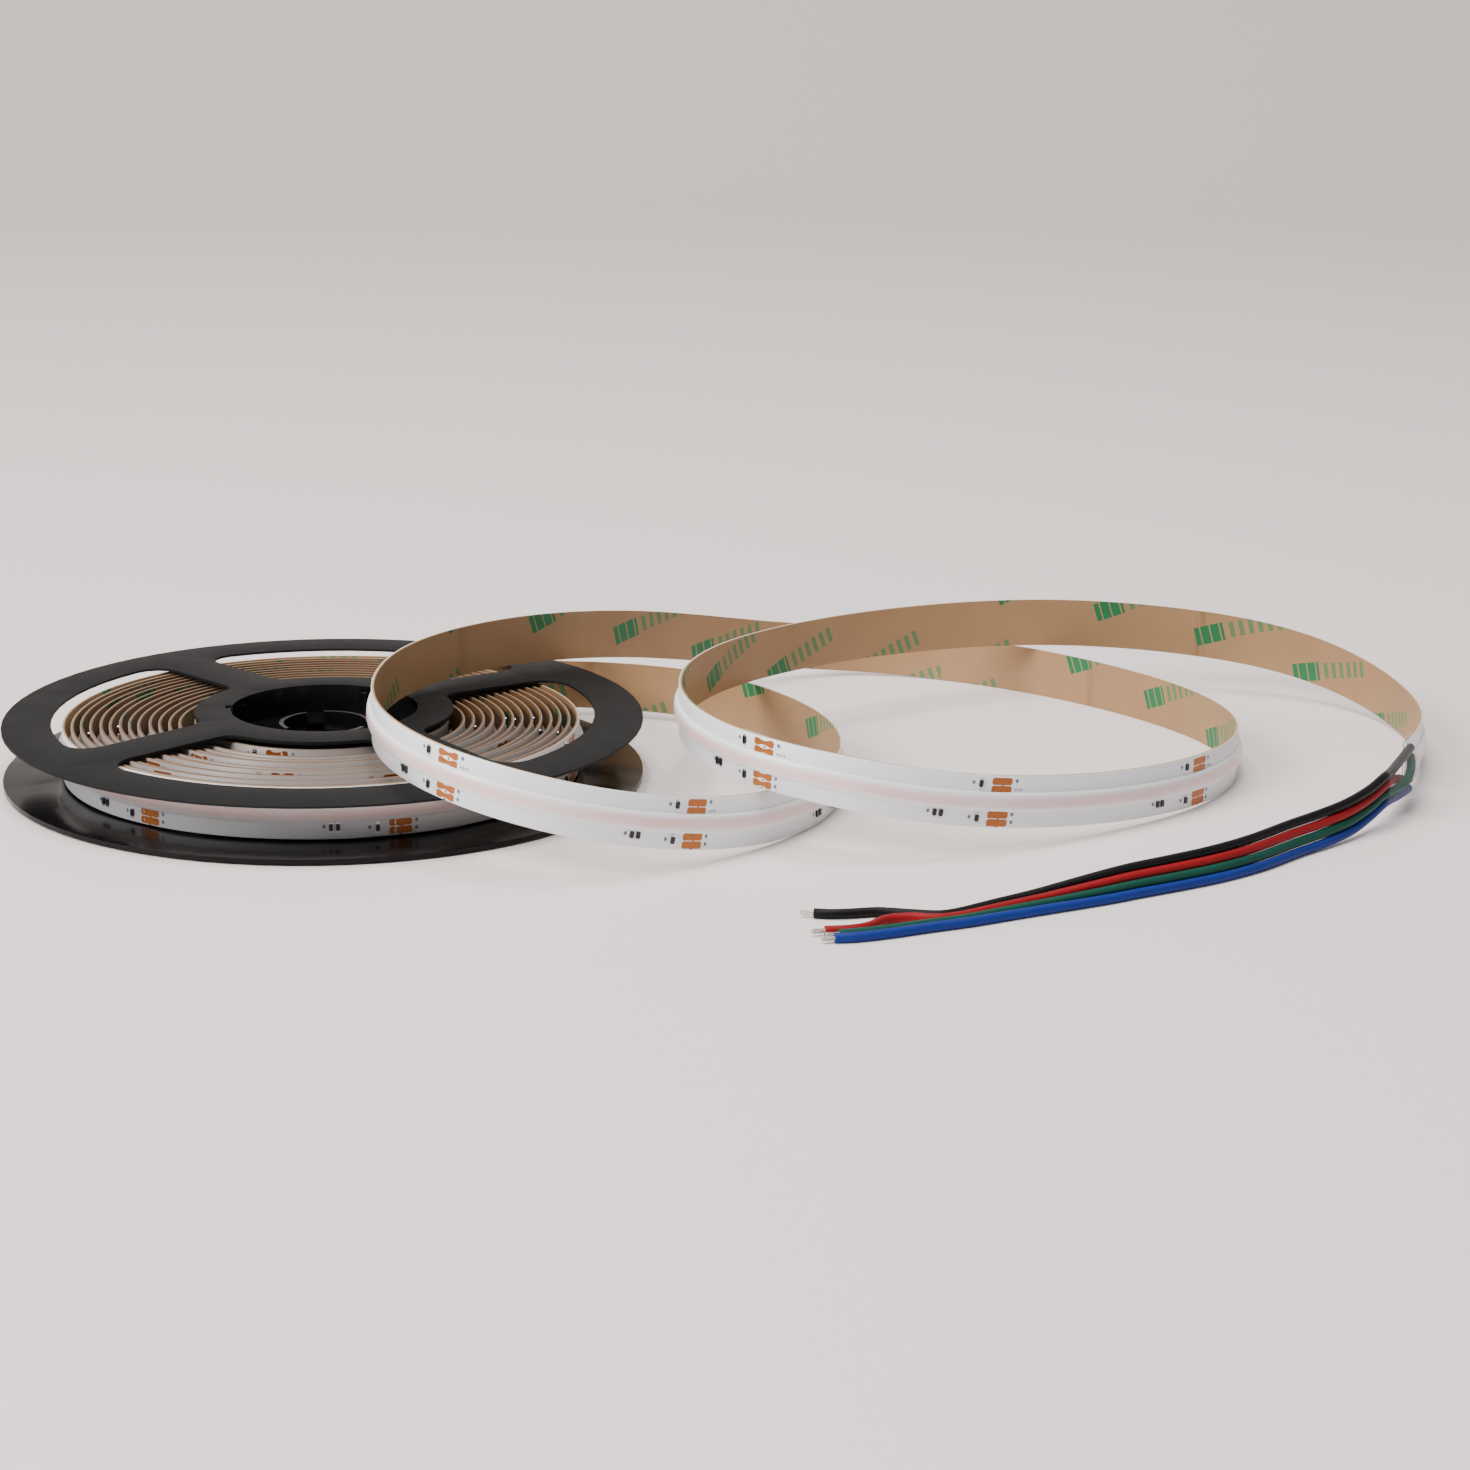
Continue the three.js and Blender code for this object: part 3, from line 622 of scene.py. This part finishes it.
CAMERA_PLACE = np.array([81.215, -708.177, 197.783])
CAMERA_PITCH = 0.2608
CAMERA_ROLL = 0.0089
FOCAL_PIXELS = 3700
FRAME_PIXELS = 1470
SENSOR = 36


def make_camera():
    """A level view turned down by the pitch, then rolled about the line of sight."""
    forward = np.array([0, math.cos(CAMERA_PITCH), -math.sin(CAMERA_PITCH)])
    level = np.array([1.0, 0, 0])
    upward = np.cross(level, forward)
    right = math.cos(CAMERA_ROLL) * level + math.sin(CAMERA_ROLL) * upward
    up = -math.sin(CAMERA_ROLL) * level + math.cos(CAMERA_ROLL) * upward
    data = bpy.data.cameras.new("camera")
    data.sensor_width = SENSOR
    data.lens = FOCAL_PIXELS * SENSOR / FRAME_PIXELS
    data.clip_start = 0.01
    data.clip_end = 20
    camera = bpy.data.objects.new("camera", data)
    place = (CAMERA_PLACE + REEL_CENTRE) * MM
    camera.matrix_world = Matrix([(*axes, position) for axes, position in
                                  zip(np.column_stack([right, up, -forward]), place)] + [(0, 0, 0, 1)])
    bpy.context.scene.collection.objects.link(camera)
    bpy.context.scene.camera = camera


# Wires

def wire_guide(name):
    """The wire's points: beside the strip in the sleeve, in the leaning stack, then on its own. In the
    stack it lies its rank times the pitch from the lowest wire, out by cos(lean), up by sin(lean)."""
    rank = WIRE_ORDER.index(name)
    at_lip = (SLEEVE_AFTER_END - LIP_INSET, LIP_OFFSET, LIP_HEIGHT + rank * WIRE_PITCH)
    points = []
    for distance, offset, height in SLEEVED_RUNS[name] + [at_lip]:
        point, normal, _ = free_strip([BOARD_END + distance / GUIDE_SPACING])
        points.append([*(point[0, :2] + offset * normal[0]), point[0, 2] + height])
    route = np.array(CABLE_ROUTE, float)
    ahead = np.zeros((len(route), 2))
    ahead[1:-1] = route[2:, :2] - route[:-2, :2]
    ahead[0] = route[1, :2] - route[0, :2]
    ahead[-1] = route[-1, :2] - route[-2, :2]
    ahead /= np.linalg.norm(ahead, axis=1)[:, None]
    lean = np.radians(route[:, 3])
    across = rank * WIRE_PITCH * np.cos(lean)
    for place, (dx, dy), out, rise in zip(route, ahead, across, rank * WIRE_PITCH * np.sin(lean)):
        points.append([place[0] + out * dy, place[1] - out * dx, place[2] + rise])
    return np.array(points + FREE_ENDS[name], float)


def smooth_path(points, steps):
    """A smooth curve through the points. Knots lie the square root of each gap apart. On a span the
    curve blends straight lines: three between neighbouring points, two between those (b1 and b2), and
    at last between these two."""
    first = 2 * points[0] - points[1]
    last = 2 * points[-1] - points[-2]
    chain = np.vstack([first, points, last])
    gaps = np.sqrt(np.linalg.norm(np.diff(chain, axis=0), axis=1))
    knots = np.concatenate([[0], np.cumsum(gaps)])
    result = []
    for i in range(1, len(chain) - 2):
        t0, t1, t2, t3 = knots[i - 1:i + 3]
        p0, p1, p2, p3 = chain[i - 1:i + 3]
        t = np.linspace(t1, t2, steps, endpoint=False)[:, None]
        a1 = ((t1 - t) * p0 + (t - t0) * p1) / (t1 - t0)
        a2 = ((t2 - t) * p1 + (t - t1) * p2) / (t2 - t1)
        a3 = ((t3 - t) * p2 + (t - t2) * p3) / (t3 - t2)
        b1 = ((t2 - t) * a1 + (t - t0) * a2) / (t2 - t0)
        b2 = ((t3 - t) * a2 + (t - t1) * a3) / (t3 - t1)
        result.append(((t2 - t) * b1 + (t - t1) * b2) / (t2 - t1))
    return np.vstack(result + [chain[-2]])


def tube_rings(path, radius, sides):
    """Rings of a round tube: circles in the plane of the path's sideways and upward directions,
    anticlockwise seen against its run."""
    ahead = np.gradient(path, axis=0)
    ahead /= np.linalg.norm(ahead, axis=1)[:, None]
    sideways = np.cross([0, 0, 1], ahead)
    sideways /= np.linalg.norm(sideways, axis=1)[:, None]
    upward = np.cross(ahead, sideways)
    angle = np.linspace(0, 2 * math.pi, sides, endpoint=False)
    circle = np.cos(angle)[None, :, None] * sideways[:, None]
    circle = circle + np.sin(angle)[None, :, None] * upward[:, None]
    radius = np.broadcast_to(np.asarray(radius, float), (len(path),))
    return path[:, None] + radius[:, None, None] * circle


WIRE_SIDES = 20
WIRE_STEPS = 12

# Strands: they start this gap inside the insulation, and end this gap beyond the bare length with tips
# of this share of their radius
BARE_LENGTH = 2.1
BARE_GAP = 0.3
STRAND_TIP = 0.7
STRAND_RADIUS = 0.17
STRAND_CIRCLE = 0.3
STRAND_LAY = 9
STRAND_COUNT = 7
STRAND_RINGS = 10
STRAND_SIDES = 8


def bare_end(name, path):
    """Seven tinned strands, one in the middle and six twisting round it on a helix of the lay's pitch,
    with narrowed tips."""
    ahead = path[-1] - path[-4]
    ahead /= np.linalg.norm(ahead)
    sideways = np.cross(ahead, [0, 0, 1])
    upward = np.cross(sideways, ahead)
    run = np.linspace(-BARE_GAP, BARE_LENGTH + BARE_GAP, STRAND_RINGS)[:, None]
    points = []
    faces = []
    for strand in range(STRAND_COUNT):
        angle = 2 * math.pi * (strand / (STRAND_COUNT - 1) + run / STRAND_LAY)
        away = 0 if strand == STRAND_COUNT - 1 else STRAND_CIRCLE
        spine = path[-1] + run * ahead + away * (np.cos(angle) * sideways + np.sin(angle) * upward)
        taper = np.where(run[:, 0] > BARE_LENGTH, STRAND_TIP, 1.0) * STRAND_RADIUS
        first = strand * STRAND_RINGS * STRAND_SIDES
        faces += [[corner + first for corner in face] for face in sweep_faces(STRAND_RINGS, STRAND_SIDES)]
        points.append(tube_rings(spine, taper, STRAND_SIDES).reshape(-1, 3))
    piece = make_piece(f"strands_{name}", np.vstack(points), faces, TINNED)
    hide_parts(f"tinned_end_{name}")
    return piece


def make_wires():
    """Each wire's insulation, a round tube along its path, and its bare end."""
    for name in WIRE_ORDER:
        path = smooth_path(wire_guide(name), WIRE_STEPS)
        rings = tube_rings(path, WIRE_RADIUS, WIRE_SIDES)
        cover = make_piece(f"insulation_{name}", rings.reshape(-1, 3), sweep_faces(len(path), WIRE_SIDES),
                           WIRE_FINISH[name])
        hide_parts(f"wire_{name}")
        strands = bare_end(name, path)


make_camera()
make_wires()


# Reel

# The solids' loose triangles are merged within this distance and joined where they are flat to within
# the first angle, in degrees; edges sharper than the second one are rounded.
MERGE_DISTANCE = 0.005
FLAT_ANGLE = 0.5
SHARP_ANGLE = 40
EDGE_ROUNDING = 0.14

# The upper flange is thinner and lower towards its rim, and sags at the front: the outer face's
# height, its drop at the front and the plate's thickness at these radii. Points between the plate's
# underside and outer face move with one of them, but not inside the web's radius.
DISH_RADII = [18.4, 25.5, 53.4, 63]
DISH_HEIGHTS = [13.7, 13.5, 12.7, 12.6]
DISH_DROPS = [0, 0, 0.55, 1.2]
DISH_THICKNESSES = [1.3, 0.8, 0.5, 0.45]
HUB_WEB_RADIUS = 17
UPPER_PLATE_UNDERSIDE = 11.85
UPPER_PLATE_MIDDLE = 12.5

# The lower flange rises from its windows to its rim
LOWER_RIM_RADII = (50.1, 63)
LOWER_RIM_LIFT = 0.35
LOWER_UNDERSIDE = 0.05

# The mould was eroded, and so the plastic is matte, below and above these heights and outside this
# radius
MATTE_BELOW = 0.4
MATTE_ABOVE = 10.6
HUB_RIM_RADIUS = 18.6


def dish_upper(points):
    """Moves the plate's two faces: height - drop * (1 - sin(angle)) / 2, less the thickness below."""
    radius = np.hypot(points[:, 0], points[:, 1])
    plate = (points[:, 2] >= UPPER_PLATE_UNDERSIDE) & (radius >= HUB_WEB_RADIUS)
    upper_face = points[:, 2] > UPPER_PLATE_MIDDLE
    height, drop, thickness = (np.interp(radius, DISH_RADII, values)
                               for values in (DISH_HEIGHTS, DISH_DROPS, DISH_THICKNESSES))
    height -= drop * (1 - points[:, 1] / radius) / 2
    height -= np.where(upper_face, 0, thickness)
    points[:, 2] = np.where(plate, height, points[:, 2])


def lift_lower_rim(points):
    """The lower plate's underside rises evenly from its windows to its rim."""
    lift = np.interp(np.hypot(points[:, 0], points[:, 1]), LOWER_RIM_RADII, (0, LOWER_RIM_LIFT))
    points[:, 2] = np.where(points[:, 2] < LOWER_UNDERSIDE, lift, points[:, 2])


def is_matte(node, centres):
    """The upper plate is matte all over and the lower one underneath; the hub is polished."""
    if node == "lower_flange":
        return centres[:, 2] < MATTE_BELOW
    return (centres[:, 2] > MATTE_ABOVE) & (np.hypot(centres[:, 0], centres[:, 1]) > HUB_RIM_RADIUS)


def read_places(items, attribute):
    """One place in millimetres from the reel's centre for each of a mesh's vertices or faces."""
    values = np.empty(3 * len(items))
    items.foreach_get(attribute, values)
    return values.reshape(-1, 3) / MM - REEL_CENTRE


def make_flange(node, bend):
    """The flange's own solid, bent, with its edges rounded and its two finishes."""
    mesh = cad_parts[node].data.copy()
    mesh.materials.clear()
    mesh.materials.append(PLASTIC_GLOSS)
    mesh.materials.append(PLASTIC_MATTE)
    piece = bpy.data.objects.new(f"{node}_moulding", mesh)
    bpy.context.scene.collection.objects.link(piece)
    work = bmesh.new()
    work.from_mesh(mesh)
    bmesh.ops.remove_doubles(work, verts=work.verts, dist=MERGE_DISTANCE * MM)
    bmesh.ops.dissolve_limit(work, angle_limit=math.radians(FLAT_ANGLE), verts=work.verts, edges=work.edges)
    bmesh.ops.triangulate(work, faces=work.faces)
    work.to_mesh(mesh)
    work.free()
    points = read_places(mesh.vertices, "co")
    bend(points)
    mesh.vertices.foreach_set("co", ((points + REEL_CENTRE) * MM).ravel())
    matte = is_matte(node, read_places(mesh.polygons, "center"))
    mesh.polygons.foreach_set("material_index", matte.astype(np.int32))
    mesh.polygons.foreach_set("use_smooth", [True] * len(mesh.polygons))
    mesh.update()
    bevel = piece.modifiers.new("rounding", "BEVEL")
    bevel.width = EDGE_ROUNDING * MM
    bevel.segments = 3
    bevel.limit_method = "ANGLE"
    bevel.angle_limit = math.radians(SHARP_ANGLE)
    bevel.harden_normals = True
    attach(piece, "root")
    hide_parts(node)


make_flange("upper_flange", dish_upper)
make_flange("lower_flange", lift_lower_rim)


# Strip layers

DOME_POINTS = 15
DOME_POWER = 0.7
CREASES = (346, 508.3, 889.3)
CREASE_WIDTH = 0.6

# A face belongs to the board's upper cut edge, or its rounding, where its normal rises by more
CUT_EDGE_RISE = 0.7


def board_section():
    """The board's section: a rectangle with its four corners cut, so that they look rounded."""
    t, w, r = BOARD_THICKNESS, STRIP_WIDTH, BOARD_ROUNDING
    return [(r, 0), (t - r, 0), (t, r), (t, w - r), (t - r, w), (r, w), (0, w - r), (0, r)]


def light_line_section():
    """A low dome on the board: over half a turn the cosine gives the place across, and the sine to a
    power under one the height, which is an ellipse with a flattened top."""
    foot = BOARD_THICKNESS + BOND_LINE
    angle = np.linspace(0, math.pi, DOME_POINTS)
    height = LIGHT_LINE_HEIGHT * np.sin(angle) ** DOME_POWER
    return np.column_stack([foot + height, STRIP_WIDTH / 2 - LIGHT_LINE_WIDTH / 2 * np.cos(angle)])


def mark_creases(piece):
    """Stores how near each point is to a fold across the liner: the sum of e^-(gap / width)^2."""
    mesh = piece.data
    layer = mesh.uv_layers["strip"].data
    distance = np.empty(2 * len(mesh.loops), np.float32)
    layer.foreach_get("uv", distance)
    corners = np.empty(len(mesh.loops), int)
    mesh.loops.foreach_get("vertex_index", corners)
    along = np.zeros(len(mesh.vertices), np.float32)
    along[corners] = distance[::2]
    near = sum(np.exp(-((along - crease) / CREASE_WIDTH) ** 2) for crease in CREASES)
    mesh.attributes.new("crease", "FLOAT", "POINT").data.foreach_set("value", near.astype(np.float32))


def make_strip():
    """The three boards with their cut edges, the light line on their outer face and the paper liner on
    their inner one."""
    boards = {
        "board_wound": (STRIP_START, 0),
        "board_first_loop": (SPLICE_GAP, SPLICE),
        "board_second_loop": (SPLICE + SPLICE_GAP, STRIP_END),
    }
    for node, (start, end) in boards.items():
        film = ribbon(f"{node}_film", start, end, board_section(), MASK)
        film.data.materials.append(CUT_EDGE)
        normals = np.empty(3 * len(film.data.polygons))
        film.data.polygons.foreach_get("normal", normals)
        upward = normals[2::3] > CUT_EDGE_RISE
        film.data.polygons.foreach_set("material_index", upward.astype(np.int32))
        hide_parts(node)
    bead = ribbon("light_bead", STRIP_START, STRIP_END - LIGHT_LINE_STOP, light_line_section(),
                  SILICONE)
    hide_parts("light_line")
    inner = -BOND_LINE - LINER_THICKNESS
    liner = ribbon("kraft_liner", STRIP_START, STRIP_END,
                   [(inner, 0), (-BOND_LINE, 0), (-BOND_LINE, STRIP_WIDTH), (inner, STRIP_WIDTH)],
                   PAPER, smooth=False)
    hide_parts("backing_liner")
    mark_creases(liner)


make_strip()


# Cut pads, resistors and print, repeated every cut

PAD_HEIGHTS = (0.93, 2.47, 7.33, 8.87)
PAD_PAIR_MIDDLES = (1.7, 8.1)
TICK_HEIGHTS = (0.2, 6.45)
RESISTOR_PLACES = ((4.6, 8.4), (4.4, 1.8), (11.75, 2.3), (13.05, 2.3))
RESISTOR_END_PLACES = [(x, y + half) for x, y in RESISTOR_PLACES for half in (-0.78, 0.78)]
DOT_PLACES = ((5.9, 1.9), (14.3, 2.4), (6.1, 8.5), (-3.2, 9.0), (-3.1, 1.1), (-3.1, 2.6))
DASH_ALONGS = (-3.0, -3.5, -4.0, -4.5)
DASH_HEIGHT = 7.3

# Each kind of small part: its places (along, across) from a cut, its outline (length, width, corner,
# steps of a corner), its height over the board's face and its material
SMALL_PARTS = {
    "cut_pads": ([(0, y) for y in PAD_HEIGHTS], (4.4, 1.38, 0.45, 3), 0.03, COPPER),
    "pad_bridges": ([(-0.2, y) for y in PAD_PAIR_MIDDLES], (0.4, 0.5, 0.1, 1), 0.025, COPPER),
    "cut_ticks": ([(0, y) for y in TICK_HEIGHTS], (0.5, 0.28, 0.08, 1), 0.02, BARE_FOIL),
    "resistor_beds": (RESISTOR_PLACES, (1.0, 2.5, 0.2, 3), 0.02, SILK_WHITE),
    "resistor_bodies": (RESISTOR_PLACES, (0.72, 1.35, 0.25, 2), 0.4, RESISTOR_BODY),
    "resistor_ends": (RESISTOR_END_PLACES, (0.66, 0.36, 0.12, 1), 0.3, RESISTOR_END),
    "print_dots": (DOT_PLACES, (0.65, 0.8, 0.25, 1), 0.012, PRINT_INK),
    "print_dashes": ([(x, DASH_HEIGHT) for x in DASH_ALONGS], (0.25, 0.5, 0.1, 1), 0.012, PRINT_INK),
}


def cut_places():
    """The distances of the cuts: one a pitch on the free boards, and both ways from the given one on
    each wound turn."""
    cuts = list(np.arange(FIRST_LOOP_CUT, SPLICE, CUT_PITCH))
    second = np.arange(SECOND_LOOP_CUT, STRIP_END - END_MARGIN, CUT_PITCH)
    second[np.argmin(abs(second - LATE_CUT))] += LATE_CUT_SHIFT
    cuts += list(second)
    wound = DISTANCE[:len(TURNS_LEFT)]
    for turn, angle in enumerate(WOUND_CUT_ANGLES):
        middle = np.interp(-turn - (angle - EXIT_ANGLE) % 360 / 360, -TURNS_LEFT, wound)
        inner, outer = np.interp((-turn - 1, -turn), -TURNS_LEFT, wound)
        first = middle - CUT_PITCH * math.floor((middle - inner - TURN_MARGIN) / CUT_PITCH)
        cuts += list(np.arange(first, outer - TURN_MARGIN, CUT_PITCH))
    return np.array(cuts)


def repeated(offsets):
    """Every (along, across) offset at every cut."""
    return [(cut + along, across) for cut in cut_places() for along, across in offsets]


def make_small_parts():
    """Every kind of small part, repeated at every cut as one piece."""
    for name, (places, outline, height, material) in SMALL_PARTS.items():
        board_parts(name, repeated(places), rounded_rectangle(*outline), height, material)


make_small_parts()


# Sleeve

def sleeve_section(share, wall):
    """Heights across and offsets of rounded rectangles that wrap the board's end, bulge over the
    crossing wires and close on them at the lip. The outer edge goes from start to lip with the share,
    plus a half sine for the bulge, and the others with its square."""
    taper = share ** 2
    inner = np.interp(taper, (0, 1), SLEEVE_INNER) - wall
    outer = np.interp(share, (0, 1), SLEEVE_OUTER) + SLEEVE_BULGE * np.sin(np.pi * share) + wall
    low = np.interp(taper, (0, 1), SLEEVE_LOW) - wall
    high = np.interp(taper, (0, 1), SLEEVE_HIGH) + wall
    corner = SLEEVE_CORNER + wall
    offset = []
    across = []
    for x, y, turn in ((1, 0, -90), (1, 1, 0), (0, 1, 90), (0, 0, 180)):
        for angle in np.radians(turn + np.linspace(0, 90, SLEEVE_CORNER_POINTS)):
            edge_x = outer - corner if x else inner + corner
            edge_y = high - corner if y else low + corner
            offset.append(edge_x + corner * math.cos(angle))
            across.append(edge_y + corner * math.sin(angle))
    return np.array(across).T, np.array(offset).T


def make_sleeve():
    """Rings of the section, outside from start to lip and inside back again, each joined to the next
    and the last to the first."""
    share = np.linspace(0, 1, SLEEVE_RINGS)
    run = np.interp(share, (0, 1), (-SLEEVE_BEFORE_END, SLEEVE_AFTER_END))
    distance = np.interp(BOARD_END + run / GUIDE_SPACING, PLACES, FREE_DISTANCE)[:, None]
    outside = on_upright(distance, *sleeve_section(share, SLEEVE_WALL))
    inside = on_upright(distance, *sleeve_section(share, 0))
    rings = np.concatenate([outside, inside[::-1]])
    count, sides = rings.shape[:2]
    faces = np.array(sweep_faces(count + 1, sides, closed_ends=False)) % (count * sides)
    piece = make_piece("clear_sleeve", rings.reshape(-1, 3), faces.tolist(), CLEAR)
    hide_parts("shrink_sleeve")


def dress_solder():
    """The solids' own solder joints, inside the clear sleeve, in the strands' finish."""
    for name in WIRE_ORDER:
        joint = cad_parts[f"solder_{name}"]
        joint.data.materials.clear()
        joint.data.materials.append(TINNED)


make_sleeve()
dress_solder()


# Floor, backdrop and light

SWEEP_HALF_WIDTH = 3000
SWEEP_FRONT = -1500
SWEEP_BEND_START = 900
SWEEP_BEND_RADIUS = 600
SWEEP_TOP = 2200
SWEEP_BEND_POINTS = 24


def make_sweep():
    """A pale paper sweep, matte enough to show only soft shadows: level near the object, then rising on
    a quarter circle to an upright wall."""
    angle = np.linspace(0, math.pi / 2, SWEEP_BEND_POINTS)
    profile = [(SWEEP_FRONT, 0)]
    profile += [(SWEEP_BEND_START + SWEEP_BEND_RADIUS * math.sin(a), SWEEP_BEND_RADIUS * (1 - math.cos(a)))
                for a in angle]
    profile.append((SWEEP_BEND_START + SWEEP_BEND_RADIUS, SWEEP_TOP))
    points = np.array([(x, y, z) for y, z in profile for x in (-SWEEP_HALF_WIDTH, SWEEP_HALF_WIDTH)])
    faces = [[a, a + 1, a + 3, a + 2] for a in range(0, len(points) - 2, 2)]
    mesh = bpy.data.meshes.new("sweep")
    mesh.from_pydata((points * MM).tolist(), [], faces)
    mesh.polygons.foreach_set("use_smooth", [True] * len(mesh.polygons))
    mesh.materials.append(plain_material("pale paper sweep", "#e8e2e0", 0.5)[0])
    piece = bpy.data.objects.new("sweep", mesh)
    bpy.context.scene.collection.objects.link(piece)


def make_light(name, place, target, size, power, colour):
    """A round area light aimed at a point; places and size in metres, power in watts."""
    data = bpy.data.lights.new(name, "AREA")
    data.shape = "DISK"
    data.size = size
    data.energy = power
    data.color = linear(colour)[:3]
    light = bpy.data.objects.new(name, data)
    aim = Vector(target) - Vector(place)
    light.matrix_world = Matrix.Translation(place) @ aim.to_track_quat("-Z", "Y").to_matrix().to_4x4()
    bpy.context.scene.collection.objects.link(light)


def make_world():
    """Even, nearly white light from all round."""
    world = bpy.data.worlds.new("studio")
    world.use_nodes = True
    ground = world.node_tree.nodes["Background"]
    ground.inputs["Color"].default_value = linear("#f2f2f4")
    ground.inputs["Strength"].default_value = 0.45
    bpy.context.scene.world = world


make_sweep()
make_world()
make_light("overhead softbox", place=(-0.12, -0.06, 1.2), target=(-0.02, -0.02, 0),
           size=0.9, power=17.5, colour="#fffaf6")
make_light("left softbox", place=(-1.0, -0.7, 0.8), target=(-0.02, 0, 0),
           size=0.7, power=26, colour="#fffbf9")
